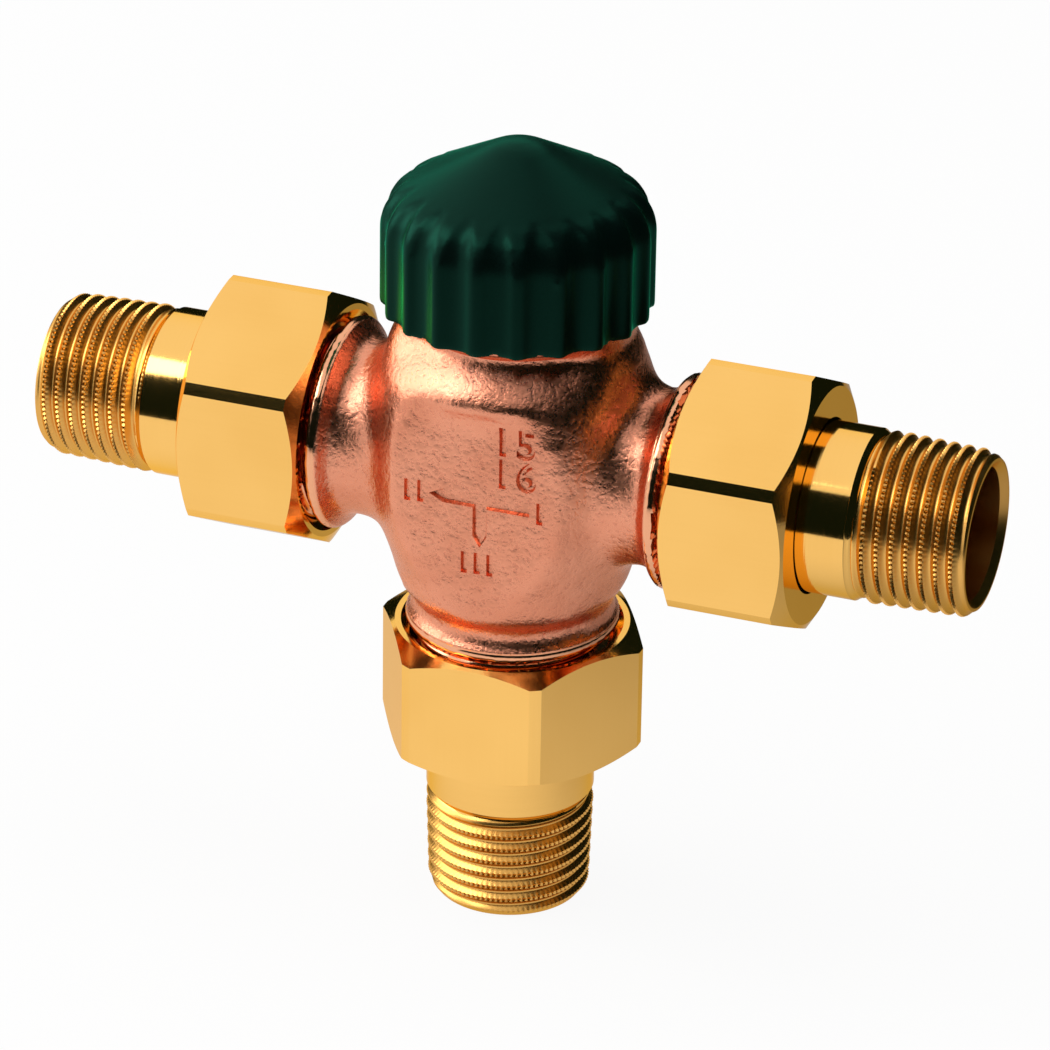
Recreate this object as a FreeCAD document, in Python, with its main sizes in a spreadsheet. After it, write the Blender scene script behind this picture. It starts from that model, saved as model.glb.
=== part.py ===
import FreeCAD, Part
import math
import os
import re

import Sketcher

# Three-way diverting valve, DN 15, with three union tails. Millimetres, +Z up along the stem.
# The lower tail stands on Z = 0. Every station below is measured from the point where the
# three port axes cross, which lies one port reach above the lower tail's mouth.

os.makedirs("parts", exist_ok=True)
doc = FreeCAD.newDocument("diverter_valve")
sheet = doc.addObject("Spreadsheet::Sheet", "Dims")

SIZES = {
    # casting: arms and spigots
    "face_reach": 31.0,
    "port_bore_r": 7.5,
    "arm_r": 10.95,
    "arm_end": 19.8,
    "spigot_flare": 1.5,
    "spigot_ring_width": 1.1,
    "spigot_ring_step": 0.65,
    "spigot_thread_r": 12.6,
    "spigot_chamfer": 0.8,
    "arm_fillet_share": 0.62,
    # casting: bulb, from its foot to the neck
    "foot_groove_depth": 1.05,
    "foot_groove_width": 1.85,
    "bulb_low_r": 14.8,
    "bulb_low_drop": 13.6,
    "bulb_low_round": 5.0,
    "bulb_mid_r": 17.9,
    "shoulder_step": 0.45,
    "shoulder_rise": 16.4,
    "neck_rise": 17.2,
    "neck_round": 0.8,
    "actuator_thread_r": 14.97,
    "neck_relief": 0.47,
    "actuator_thread_rise": 20.6,
    "neck_top_rise": 27.5,
    "neck_chamfer": 0.9,
    "pad_reach": 14.2,
    "pad_half_width": 12.4,
    "pad_top_rise": 11.6,
    "pad_foot_drop": 17.0,
    "pad_corner_r": 4.0,
    # casting: chambers and seats
    "seat_r": 5.5,
    "web_thickness": 3.0,
    "upper_seat_rise": 5.0,
    "lower_seat_drop": 12.5,
    "mid_chamber_r": 8.0,
    "lower_chamber_r": 9.0,
    "lower_chamber_drop": 22.6,
    "core_wall": 2.2,
    "inlet_link_r": 5.0,
    "riser_outer_r": 14.9,
    "riser_angle": 70.0,
    "neck_bore_r": 11.2,
    # headwork
    "fit_gap": 0.03,
    "running_gap": 0.05,
    "seat_gap": 0.05,
    "bonnet_clearance": 0.55,
    "bonnet_floor": 2.0,
    "bonnet_seat": 0.3,
    "bonnet_head": 2.0,
    "spring_room_r": 5.0,
    "gland_step": 1.0,
    "gland_depth": 6.0,
    "gland_head": 2.6,
    "gland_seat": 0.25,
    "o_ring_wire_r": 0.8,
    "o_ring_pitch": 2.6,
    "bonnet_ring_wire_r": 0.7,
    "bonnet_ring_step": 2.7,
    # stem, discs and spring
    "stroke": 2.5,
    "stem_r": 2.5,
    "pin_r": 2.0,
    "pin_reach": 3.3,
    "pin_tip_round": 0.6,
    "collar_r": 4.3,
    "collar_thickness": 1.5,
    "disc_rim": 0.5,
    "disc_height": 3.4,
    "disc_hub_r": 4.0,
    "hub_step": 0.3,
    "seal_outer_r": 6.7,
    "seal_thickness": 2.0,
    "seal_proud": 0.8,
    "sleeve_r": 3.0,
    "lock_nut_flats": 7.0,
    "lock_nut_height": 3.2,
    "stem_end_thread": 1.0,
    "spring_r": 3.6,
    "spring_wire_r": 0.45,
    "spring_turns": 4.5,
    # union nuts
    "nut_gap": 0.3,
    "nut_wall": 2.35,
    "nut_face_inset": 0.45,
    "nut_corner_step": 1.9,
    "nut_mouth_chamfer": 1.15,
    "nut_lip": 3.05,
    "thread_gap": 0.05,
    "nut_hole_gap": 0.3,
    "right_nut_turn": 2.8,
    "left_nut_turn": -0.9,
    "bottom_nut_turn": -0.3,
    "right_nut_slack": 0.8,
    "left_nut_slack": 0.2,
    "bottom_nut_slack": 0.15,
    # tails and gaskets
    "gasket_thickness": 1.2,
    "gasket_inset": 0.5,
    "tail_collar": 3.2,
    "tail_collar_inset": 0.7,
    "tail_shank": 10.3,
    "tail_shank_r": 10.5,
    "tail_groove": 1.2,
    "tail_groove_depth": 0.78,
    "tail_thread": 13.1,
    "tail_thread_r": 10.4775,
    "tail_bore_r": 8.1,
    "tail_rim_chamfer": 1.2,
    "tail_mouth_chamfer": 1.0,
    "tail_land": 0.25,
    # protective cap
    "cap_turn": -6.4,
    "cap_cover": 7.9,
    "cap_skirt": 1.58,
    "cap_side": 10.2,
    "cap_shoulder_inset": 3.18,
    "cap_shoulder": 15.5,
    "cap_shoulder_round": 6.0,
    "cap_boss_r": 3.4,
    "cap_boss": 20.82,
    "cap_top": 21.57,
    "cap_wall": 1.7,
    "cap_thread": 11.4,
    "cap_pusher_r": 3.0,
    "cap_rim_chamfer": 0.7,
    "flute_count": 20,
    "flute_r": 3.3,
    "flute_depth": 0.85,
    "flute_rise": 0.4,
    "flute_path_r": 9.2,
    "flute_swing": 66.0,
}

row = 1
for name, value in SIZES.items():
    sheet.set("A%d" % row, name)
    sheet.set("B%d" % row, str(value))
    sheet.setAlias("B%d" % row, name)
    row = row + 1
doc.recompute()

# Heights and radii that follow from the sizes, written as formulas of the sheet.
REACH = "(face_reach + gasket_thickness + tail_collar + tail_shank + tail_groove + tail_thread)"
SPIGOT_RING_R = "(spigot_thread_r + spigot_ring_step)"
RING_START = "(arm_end + spigot_flare)"
RING_END = "(arm_end + spigot_flare + spigot_ring_width)"
GROOVE_R = "(spigot_thread_r + spigot_ring_step - foot_groove_depth)"
FOOT_DROP = "(arm_end + spigot_flare - foot_groove_depth - foot_groove_width)"
NECK_R = "(actuator_thread_r - neck_relief)"
SHOULDER_R = "(actuator_thread_r - neck_relief + shoulder_step)"
BULB_SAG = "(bulb_mid_r - (bulb_low_r + %s) / 2)" % SHOULDER_R
BULB_CHORD = "((shoulder_rise + bulb_low_drop) ^ 2 + (bulb_low_r - %s) ^ 2)" % SHOULDER_R
BULB_ROUND = "(%s / 4 + %s ^ 2) / 2 / %s" % (BULB_CHORD, BULB_SAG, BULB_SAG)
COLLAR_R = "(spigot_thread_r - tail_collar_inset)"
COLLAR_START = "(face_reach + gasket_thickness)"
COLLAR_END = "(face_reach + gasket_thickness + tail_collar)"
NUT_SHOULDER = "(face_reach + gasket_thickness + tail_collar + seat_gap)"
NUT_END = "(face_reach + gasket_thickness + tail_collar + seat_gap + nut_lip)"
NUT_BORE_R = "(spigot_thread_r + thread_gap)"
NUT_FLATS = "(2 * (spigot_thread_r + thread_gap + nut_wall))"
NUT_FACE_R = "(spigot_thread_r + thread_gap + nut_wall - nut_face_inset)"
NUT_START = "(arm_end + spigot_flare + spigot_ring_width + nut_gap)"
GLAND_R = "(spring_room_r + gland_step)"
GLAND_FLATS = "(2 * (spring_room_r + gland_step + gland_seat))"
BONNET_FLATS = "(2 * (neck_bore_r + bonnet_seat))"
BONNET_FOOT = "(upper_seat_rise + stroke + seat_gap + disc_height + bonnet_clearance)"
BONNET_RING = "(%s + bonnet_ring_step)" % BONNET_FOOT
PIN_TIP = "(neck_top_rise + bonnet_head + gland_head + pin_reach)"
CAP_RIM = "(neck_top_rise - cap_cover)"
CAP_BORE_R = "(actuator_thread_r + running_gap)"
CAP_R = "(actuator_thread_r + running_gap + cap_skirt)"
CAP_SHOULDER_R = "(actuator_thread_r + running_gap + cap_skirt - cap_shoulder_inset)"
GLAND_FOOT = "(neck_top_rise + bonnet_head - gland_depth)"
COLLAR_TOP = "(neck_top_rise + bonnet_head - gland_depth - seat_gap)"
SPRING_TOP = "(neck_top_rise + bonnet_head - gland_depth - seat_gap - collar_thickness)"
SPRING_FOOT = "(%s + bonnet_floor)" % BONNET_FOOT
UPPER_FACE = "(upper_seat_rise + stroke + seat_gap)"
LOWER_FACE = "(lower_seat_drop + seat_gap)"
STEM_FOOT = "(lower_seat_drop + seat_gap + disc_height + lock_nut_height + stem_end_thread)"


def formula(text):
    """The same formula, with each size named as a cell of the sheet."""
    return re.sub(r"[A-Za-z_]\w*", lambda m: "Dims." + m.group() if m.group() in SIZES else m.group(), text)


def number(text):
    """What a formula gives with the sheet's present sizes."""
    return float(sheet.evalExpression(formula(text)))


def bind(thing, **formulas):
    """Ties properties of an object to formulas of the sheet."""
    for name, text in formulas.items():
        thing.setExpression(name, formula(text))
    return thing


def stand(thing, turn=FreeCAD.Rotation(), rise="0", out="0"):
    """Puts an object on the port crossing, turned, raised, and moved out along its own Z."""
    thing.Placement = FreeCAD.Placement(FreeCAD.Vector(), turn)
    own = turn.multVec(FreeCAD.Vector(0, 0, 1))
    bind(thing, **{"Placement.Base.x": "%d * (%s)" % (round(own.x), out)})
    bind(thing, **{"Placement.Base.z": "%s + %s + %d * (%s)" % (REACH, rise, round(own.z), out)})
    return thing


def half_section(body, corners):
    """A closed sketch on the body's XZ plane. Each corner is (radius, height) or, for an arc that
    ends there, (radius, height, arc radius): positive bulges outward, negative hollows inward."""
    sketch = body.newObject("Sketcher::SketchObject", "Section")
    sketch.AttachmentSupport = [(body.Origin.OriginFeatures[4], "")]
    sketch.MapMode = "FlatFace"
    spots = [FreeCAD.Vector(number(c[0]), number(c[1]), 0) for c in corners]
    count = len(corners)
    ends = []
    for k in range(count):
        a, b = spots[k - 1], spots[k]
        if len(corners[k]) == 2:
            edge = sketch.addGeometry(Part.LineSegment(a, b), False)
            ends.append((edge, 1, 2))
            continue
        size = number(corners[k][2])
        chord = b - a
        sag = abs(size) - math.sqrt(max(size * size - chord.Length ** 2 / 4.0, 0.0))
        away = FreeCAD.Vector(chord.y, -chord.x, 0)
        away.normalize()
        middle = (a + b) * 0.5 + away * math.copysign(sag, size)
        edge = sketch.addGeometry(Part.Arc(a, middle, b), False)
        first = sketch.getPoint(edge, 1)
        ends.append((edge, 1, 2) if first.distanceToPoint(a) < first.distanceToPoint(b) else (edge, 2, 1))
        radius = sketch.addConstraint(Sketcher.Constraint("Radius", edge, abs(size)))
        sketch.setExpression("Constraints[%d]" % radius, "abs(%s)" % formula(corners[k][2]))
    for k in range(count):
        edge, start, end = ends[k]
        following = ends[(k + 1) % count]
        sketch.addConstraint(Sketcher.Constraint("Coincident", edge, end, following[0], following[1]))
        for axis, kind, text in ((-2, "DistanceX", corners[k][0]), (-1, "DistanceY", corners[k][1])):
            if text == "0":
                sketch.addConstraint(Sketcher.Constraint("PointOnObject", edge, end, axis))
            else:
                mark = sketch.addConstraint(Sketcher.Constraint(kind, -1, 1, edge, end, number(text)))
                sketch.setExpression("Constraints[%d]" % mark, formula(text))
    return sketch


def turned(label, corners):
    """A turned piece: a half section spun once about the body's Z axis."""
    body = doc.addObject("PartDesign::Body", label)
    sketch = half_section(body, corners)
    spin = body.newObject("PartDesign::Revolution", "Turn")
    spin.Profile = sketch
    spin.ReferenceAxis = (sketch, ["V_Axis"])
    spin.Angle = 360.0
    body.Tip = spin
    sketch.Visibility = False
    return body


def hexagon(label, flats, height):
    """A hexagonal bar, its size across flats and its height tied to the sheet."""
    bar = doc.addObject("Part::Prism", label)
    bar.Polygon = 6
    return bind(bar, Circumradius="(%s) / 2 / cos(30 deg)" % flats, Height=height)


def joined(kind, label, *pieces):
    """A boolean of two or more pieces: Part::Cut or Part::Common of two, Part::MultiFuse of more."""
    result = doc.addObject(kind, label)
    if kind == "Part::MultiFuse":
        result.Shapes = list(pieces)
    else:
        result.Base, result.Tool = pieces
    for piece in pieces:
        piece.Visibility = False
    return result


# How near two places count as one, in millimetres.
NEAR = 0.02
finished = []


def finish(thing, label):
    thing.Label = label
    finished.append(thing)
    return thing


# Directions of the three ports: a piece's own +Z points out of the port.
OUT = {
    "right": FreeCAD.Rotation(FreeCAD.Vector(0, 1, 0), 90),
    "left": FreeCAD.Rotation(FreeCAD.Vector(0, 1, 0), -90),
    "bottom": FreeCAD.Rotation(FreeCAD.Vector(1, 0, 0), 180),
}

# Casting, outside: the bulb on its lower spigot, and one long turned piece for both arms.
bulb = turned("bulb", [
    ("0", "-face_reach"),
    ("spigot_thread_r - spigot_chamfer", "-face_reach"),
    ("spigot_thread_r", "spigot_chamfer - face_reach"),
    ("spigot_thread_r", "-" + RING_END),
    (SPIGOT_RING_R, "-" + RING_END),
    (SPIGOT_RING_R, "-" + RING_START),
    (GROOVE_R, "foot_groove_depth - " + RING_START),
    (GROOVE_R, "-" + FOOT_DROP),
    ("bulb_low_r", "-bulb_low_drop", "bulb_low_round"),
    (SHOULDER_R, "shoulder_rise", BULB_ROUND),
    (NECK_R, "neck_rise", "-neck_round"),
    (NECK_R, "actuator_thread_rise"),
    ("actuator_thread_r", "actuator_thread_rise + neck_relief"),
    ("actuator_thread_r", "neck_top_rise - neck_chamfer"),
    ("actuator_thread_r - neck_chamfer", "neck_top_rise"),
    ("0", "neck_top_rise"),
])
arms = turned("arms", [
    ("0", "-face_reach"),
    ("spigot_thread_r - spigot_chamfer", "-face_reach"),
    ("spigot_thread_r", "spigot_chamfer - face_reach"),
    ("spigot_thread_r", "-" + RING_END),
    (SPIGOT_RING_R, "-" + RING_END),
    (SPIGOT_RING_R, "-" + RING_START),
    ("arm_r", "-arm_end"),
    ("arm_r", "arm_end"),
    (SPIGOT_RING_R, RING_START),
    (SPIGOT_RING_R, RING_END),
    ("spigot_thread_r", RING_END),
    ("spigot_thread_r", "face_reach - spigot_chamfer"),
    ("spigot_thread_r - spigot_chamfer", "face_reach"),
    ("0", "face_reach"),
])
stand(bulb)
stand(arms, OUT["right"])
tee = joined("Part::MultiFuse", "tee", bulb, arms)
doc.recompute()


def lies_on_arm(edge):
    """True for the curves where an arm meets the bulb."""
    height = number(REACH)
    for spot in edge.discretize(7):
        if abs(math.hypot(spot.y, spot.z - height) - number("arm_r")) > NEAR:
            return False
        if abs(spot.x) > number("arm_end") - NEAR:
            return False
    return True


blended = doc.addObject("Part::Fillet", "blended")
blended.Base = tee
crotch = [k + 1 for k, edge in enumerate(tee.Shape.Edges) if lies_on_arm(edge)]
room = number("arm_end") - max(tee.Shape.Edges[k - 1].BoundBox.XMax for k in crotch)
arm_fillet = number("arm_fillet_share") * room
blended.Edges = [(k, arm_fillet, arm_fillet) for k in crotch]
tee.Visibility = False


def pad_cutter(label, side):
    """The block that leaves one flat marking pad on the bulb, with rounded upper corners."""
    block = doc.addObject("Part::Box", label + "_block")
    bind(block, Length="2 * pad_half_width", Width="bulb_mid_r", Height="pad_top_rise + pad_foot_drop")
    near = "pad_reach" if side > 0 else "-(pad_reach + bulb_mid_r)"
    bind(block, **{"Placement.Base.x": "-pad_half_width", "Placement.Base.y": near})
    bind(block, **{"Placement.Base.z": REACH + " - pad_foot_drop"})
    doc.recompute()
    top = block.Shape.BoundBox.ZMax
    corners = []
    for k, edge in enumerate(block.Shape.Edges):
        along = edge.tangentAt(edge.FirstParameter)
        if abs(along.x) + abs(along.z) < NEAR and abs(edge.CenterOfMass.z - top) < NEAR:
            corners.append((k + 1, number("pad_corner_r"), number("pad_corner_r")))
    rounded = doc.addObject("Part::Fillet", label)
    rounded.Base = block
    rounded.Edges = corners
    block.Visibility = False
    return rounded


pads = joined("Part::MultiFuse", "pads", pad_cutter("front_pad", -1), pad_cutter("back_pad", 1))
outside = joined("Part::Cut", "outside", blended, pads)

# Casting, inside: one turned core for seats and chambers, and the two side passages.
core = turned("core", [
    ("0", "-(face_reach + core_wall)"),
    ("port_bore_r", "-(face_reach + core_wall)"),
    ("port_bore_r", "-lower_chamber_drop"),
    ("lower_chamber_r", "-(lower_chamber_drop - lower_chamber_r + port_bore_r)"),
    ("lower_chamber_r", "-lower_seat_drop"),
    ("seat_r", "-lower_seat_drop"),
    ("seat_r", "web_thickness - lower_seat_drop"),
    ("mid_chamber_r", "web_thickness - lower_seat_drop"),
    ("mid_chamber_r", "upper_seat_rise - web_thickness"),
    ("seat_r", "upper_seat_rise - web_thickness"),
    ("seat_r", "upper_seat_rise"),
    ("neck_bore_r", "upper_seat_rise"),
    ("neck_bore_r", "neck_top_rise + core_wall"),
    ("0", "neck_top_rise + core_wall"),
])
stand(core)


def drill(label, radius, start, end, turn, drop="0"):
    """A round passage along a port's axis, between two stations, and lower by drop."""
    hole = doc.addObject("Part::Cylinder", label)
    bind(hole, Radius=radius, Height="(%s) - (%s)" % (end, start))
    stand(hole, OUT[turn], "-(%s)" % drop)
    sign = "" if turn == "right" else "-"
    hole.setExpression("Placement.Base.x", formula("%s(%s)" % (sign, start)))
    return hole


inlet = drill("inlet", "port_bore_r", "neck_bore_r + core_wall", "face_reach + core_wall", "right")
inlet_link = drill("inlet_link", "inlet_link_r", "0", "neck_bore_r + 2 * core_wall", "right",
                   "(lower_seat_drop - upper_seat_rise) / 2")
outlet = drill("outlet", "port_bore_r", "mid_chamber_r + 2 * core_wall", "face_reach + core_wall", "left")
riser_block = doc.addObject("Part::Cylinder", "riser_block")
bind(riser_block, Radius="riser_outer_r", Angle="riser_angle")
bind(riser_block, Height=BONNET_FOOT + " + port_bore_r - core_wall")
stand(riser_block, rise="core_wall / 2 - port_bore_r")
riser_block.Placement.Rotation = FreeCAD.Rotation(FreeCAD.Vector(0, 0, 1), 180 - number("riser_angle") / 2)
riser_block.setExpression("Placement.Rotation.Angle", formula("(180 - riser_angle / 2) * 1 deg"))
riser_wall = doc.addObject("Part::Cylinder", "riser_wall")
bind(riser_wall, Radius="mid_chamber_r + core_wall", Height=BONNET_FOOT + " + port_bore_r")
stand(riser_wall, rise="-port_bore_r")
riser = joined("Part::Cut", "riser", riser_block, riser_wall)
hollow = joined("Part::MultiFuse", "hollow", core, inlet, inlet_link, outlet, riser)
finish(joined("Part::Cut", "valve_body", outside, hollow), "valve_body")

# Headwork: bonnet, gland and their rings.
bonnet_turned = turned("bonnet_turned", [
    ("stem_r + running_gap", BONNET_FOOT),
    ("neck_bore_r - fit_gap", BONNET_FOOT),
    ("neck_bore_r - fit_gap", BONNET_RING + " - bonnet_ring_wire_r - fit_gap"),
    ("neck_bore_r - 2 * bonnet_ring_wire_r - 2 * fit_gap", BONNET_RING + " - bonnet_ring_wire_r - fit_gap"),
    ("neck_bore_r - 2 * bonnet_ring_wire_r - 2 * fit_gap", BONNET_RING + " + bonnet_ring_wire_r + fit_gap"),
    ("neck_bore_r - fit_gap", BONNET_RING + " + bonnet_ring_wire_r + fit_gap"),
    ("neck_bore_r - fit_gap", "neck_top_rise"),
    (BONNET_FLATS, "neck_top_rise"),
    (BONNET_FLATS, "neck_top_rise + bonnet_head"),
    (GLAND_R, "neck_top_rise + bonnet_head"),
    (GLAND_R, GLAND_FOOT),
    ("spring_room_r", GLAND_FOOT),
    ("spring_room_r", SPRING_FOOT),
    ("stem_r + running_gap", SPRING_FOOT),
])
bonnet_bar = hexagon("bonnet_bar", BONNET_FLATS, "neck_top_rise + bonnet_head - " + BONNET_FOOT)
stand(bonnet_turned)
stand(bonnet_bar, rise=BONNET_FOOT)
finish(joined("Part::Common", "bonnet", bonnet_turned, bonnet_bar), "bonnet")

bonnet_ring = doc.addObject("Part::Torus", "bonnet_o_ring")
bind(bonnet_ring, Radius1="neck_bore_r - fit_gap - bonnet_ring_wire_r", Radius2="bonnet_ring_wire_r")
finish(stand(bonnet_ring, rise=BONNET_RING), "bonnet_o_ring")

GROOVE = "(pin_r + running_gap + 2 * o_ring_wire_r + fit_gap)"
LOW_RING = "(%s + o_ring_pitch / 2)" % GLAND_FOOT
HIGH_RING = "(%s + 3 * o_ring_pitch / 2)" % GLAND_FOOT
gland_corners = [
    (GLAND_R + " - fit_gap", "neck_top_rise + bonnet_head"),
    (GLAND_FLATS, "neck_top_rise + bonnet_head"),
    (GLAND_FLATS, "neck_top_rise + bonnet_head + gland_head"),
    ("pin_r + running_gap", "neck_top_rise + bonnet_head + gland_head"),
]
for ring in (HIGH_RING, LOW_RING):
    gland_corners += [
        ("pin_r + running_gap", ring + " + o_ring_wire_r + fit_gap"),
        (GROOVE, ring + " + o_ring_wire_r + fit_gap"),
        (GROOVE, ring + " - o_ring_wire_r - fit_gap"),
        ("pin_r + running_gap", ring + " - o_ring_wire_r - fit_gap"),
    ]
gland_corners += [("pin_r + running_gap", GLAND_FOOT), (GLAND_R + " - fit_gap", GLAND_FOOT)]
gland_turned = turned("gland_turned", gland_corners)
gland_bar = hexagon("gland_bar", GLAND_FLATS, "gland_depth + gland_head")
stand(gland_turned)
stand(gland_bar, rise=GLAND_FOOT)
finish(joined("Part::Common", "gland_nut", gland_turned, gland_bar), "gland_nut")

for label, ring in (("stem_o_ring_lower", LOW_RING), ("stem_o_ring_upper", HIGH_RING)):
    o_ring = doc.addObject("Part::Torus", label)
    bind(o_ring, Radius1="pin_r + running_gap + o_ring_wire_r", Radius2="o_ring_wire_r")
    finish(stand(o_ring, rise=ring), label)

# Stem: pin through the gland, spring collar, guided shank, and a thin foot for the two discs.
finish(stand(turned("stem", [
    ("0", "-" + STEM_FOOT),
    ("pin_r", "-" + STEM_FOOT),
    ("pin_r", UPPER_FACE + " + disc_height"),
    ("stem_r", UPPER_FACE + " + disc_height"),
    ("stem_r", SPRING_TOP),
    ("collar_r", SPRING_TOP),
    ("collar_r", COLLAR_TOP),
    ("pin_r", COLLAR_TOP),
    ("pin_r", PIN_TIP + " - pin_tip_round"),
    ("pin_r - pin_tip_round", PIN_TIP),
    ("0", PIN_TIP),
])), "stem")


def seat_disc(label, face, sign):
    """A brass disc with a recess for its soft seal: its sealing side is at face, its back along sign."""
    def at(step):
        return "%s(%s %s (%s))" % ("" if sign > 0 else "-", face, "+", step)
    return turned(label, [
        ("pin_r + fit_gap", at("hub_step")),
        ("disc_hub_r", at("hub_step")),
        ("disc_hub_r", at("seal_thickness")),
        ("seal_outer_r + fit_gap", at("seal_thickness")),
        ("seal_outer_r + fit_gap", at("seal_proud")),
        ("seal_outer_r + disc_rim", at("seal_proud")),
        ("seal_outer_r + disc_rim", at("disc_height")),
        ("pin_r + fit_gap", at("disc_height")),
    ])


def soft_seal(label, face, sign):
    """The flat ring that lies in a disc's recess."""
    near = "%s(%s)" % ("" if sign > 0 else "-", face)
    far = "%s(%s + seal_thickness)" % ("" if sign > 0 else "-", face)
    return turned(label, [
        ("disc_hub_r + fit_gap", near),
        ("seal_outer_r", near),
        ("seal_outer_r", far),
        ("disc_hub_r + fit_gap", far),
    ])


finish(stand(seat_disc("upper_disc", UPPER_FACE, 1)), "upper_disc")
finish(stand(soft_seal("upper_seal", UPPER_FACE, 1)), "upper_seal")
finish(stand(seat_disc("lower_disc", LOWER_FACE, -1)), "lower_disc")
finish(stand(soft_seal("lower_seal", LOWER_FACE, -1)), "lower_seal")
finish(stand(turned("spacer_sleeve", [
    ("pin_r + fit_gap", "-(%s + hub_step)" % LOWER_FACE),
    ("sleeve_r", "-(%s + hub_step)" % LOWER_FACE),
    ("sleeve_r", UPPER_FACE + " + hub_step"),
    ("pin_r + fit_gap", UPPER_FACE + " + hub_step"),
])), "spacer_sleeve")

lock_bar = hexagon("lock_bar", "lock_nut_flats", "lock_nut_height")
lock_hole = doc.addObject("Part::Cylinder", "lock_hole")
bind(lock_hole, Radius="pin_r + fit_gap", Height="lock_nut_height")
for piece in (lock_bar, lock_hole):
    stand(piece, rise="-(%s + disc_height + lock_nut_height)" % LOWER_FACE)
finish(joined("Part::Cut", "lock_nut", lock_bar, lock_hole), "lock_nut")

# Return spring: a round wire swept along a helix, between the bonnet's floor and the stem's collar.
coil = doc.addObject("Part::Helix", "coil")
coil.LocalCoord = 0
SPRING_LENGTH = "(%s - %s - 2 * spring_wire_r - 2 * seat_gap)" % (SPRING_TOP, SPRING_FOOT)
bind(coil, Radius="spring_r", Height=SPRING_LENGTH, Pitch=SPRING_LENGTH + " / spring_turns")
wire = doc.addObject("Part::Circle", "wire")
bind(wire, Radius="spring_wire_r")
wire.Placement = FreeCAD.Placement(FreeCAD.Vector(), FreeCAD.Rotation(FreeCAD.Vector(1, 0, 0), 90))
bind(wire, **{"Placement.Base.x": "spring_r"})
doc.recompute()
spring = doc.addObject("Part::Sweep", "return_spring")
spring.Sections = [wire]
spring.Spine = (coil, ["Edge%d" % (k + 1) for k in range(len(coil.Shape.Edges))])
spring.Solid = True
spring.Frenet = True
finish(stand(spring, rise="%s + spring_wire_r + seat_gap" % SPRING_FOOT), "return_spring")

# Unions: nut, tail and gasket, the same for all three ports.
NUT_CORNER_R = "(spigot_thread_r + thread_gap + nut_wall + nut_corner_step)"
NUT_CUT = "(nut_corner_step + nut_face_inset) * tan(30 deg)"
for side, turn in OUT.items():
    blank = turned(side + "_nut_turned", [
        (NUT_BORE_R + " + nut_mouth_chamfer", NUT_START),
        (NUT_FACE_R, NUT_START),
        (NUT_CORNER_R, NUT_START + " + " + NUT_CUT),
        (NUT_CORNER_R, NUT_END + " - " + NUT_CUT),
        (NUT_FACE_R, NUT_END),
        ("tail_shank_r + nut_hole_gap", NUT_END),
        ("tail_shank_r + nut_hole_gap", NUT_SHOULDER),
        (NUT_BORE_R, NUT_SHOULDER),
        (NUT_BORE_R, NUT_START + " + nut_mouth_chamfer"),
    ])
    bar = hexagon(side + "_nut_bar", NUT_FLATS, "%s - %s" % (NUT_END, NUT_START))
    bind(bar, **{"Placement.Base.z": NUT_START, "Placement.Rotation.Angle": side + "_nut_turn * 1 deg"})
    nut = joined("Part::Common", side + "_nut_joined", blank, bar)
    finish(stand(nut, turn, out=side + "_nut_slack"), "union_nut_" + side)

    finish(stand(turned("tail_" + side, [
        ("tail_bore_r", COLLAR_START),
        (COLLAR_R, COLLAR_START),
        (COLLAR_R, COLLAR_END),
        ("tail_shank_r", COLLAR_END),
        ("tail_shank_r", COLLAR_END + " + tail_shank"),
        ("tail_thread_r - tail_groove_depth", COLLAR_END + " + tail_shank"),
        ("tail_thread_r - tail_groove_depth", REACH + " - tail_thread"),
        ("tail_thread_r", REACH + " - tail_thread"),
        ("tail_thread_r", REACH + " - tail_rim_chamfer"),
        ("tail_bore_r + tail_mouth_chamfer + tail_land", REACH),
        ("tail_bore_r + tail_mouth_chamfer", REACH),
        ("tail_bore_r", REACH + " - tail_mouth_chamfer"),
    ]), turn), "tail_" + side)

    finish(stand(turned("gasket_" + side, [
        ("tail_bore_r + gasket_inset", "face_reach"),
        (COLLAR_R, "face_reach"),
        (COLLAR_R, COLLAR_START),
        ("tail_bore_r + gasket_inset", COLLAR_START),
    ]), turn), "gasket_" + side)

# Protective cap: a turned shell with a pusher over the stem, and flutes that run out on its shoulder.
BOSS_BALL = "(cap_boss_r ^ 2 + (cap_top - cap_boss) ^ 2) / 2 / (cap_top - cap_boss)"
cap = turned("protective_cap", [
    (CAP_BORE_R + " + cap_rim_chamfer", CAP_RIM),
    (CAP_R, CAP_RIM),
    (CAP_R, CAP_RIM + " + cap_side"),
    (CAP_SHOULDER_R, CAP_RIM + " + cap_shoulder", "cap_shoulder_round"),
    ("cap_boss_r", CAP_RIM + " + cap_boss"),
    ("0", CAP_RIM + " + cap_top", BOSS_BALL),
    ("0", PIN_TIP + " + seat_gap"),
    ("cap_pusher_r", PIN_TIP + " + seat_gap"),
    ("cap_pusher_r", CAP_RIM + " + cap_boss - cap_wall"),
    (CAP_SHOULDER_R + " - cap_wall", CAP_RIM + " + cap_shoulder - cap_wall"),
    (CAP_BORE_R, CAP_RIM + " + cap_thread"),
    (CAP_BORE_R, CAP_RIM + " + cap_rim_chamfer"),
])
FLUTE_R = "(%s + flute_r - flute_depth)" % CAP_R
FLUTE_TURN = "(%s + cap_side + flute_rise)" % CAP_RIM
flute_sketch = cap.newObject("Sketcher::SketchObject", "FluteSection")
flute_sketch.AttachmentSupport = [(cap.Origin.OriginFeatures[3], "")]
flute_sketch.MapMode = "FlatFace"
middle = FreeCAD.Vector(number(FLUTE_R), 0, 0)
flute_sketch.addGeometry(Part.Circle(middle, FreeCAD.Vector(0, 0, 1), number("flute_r")), False)
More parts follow.
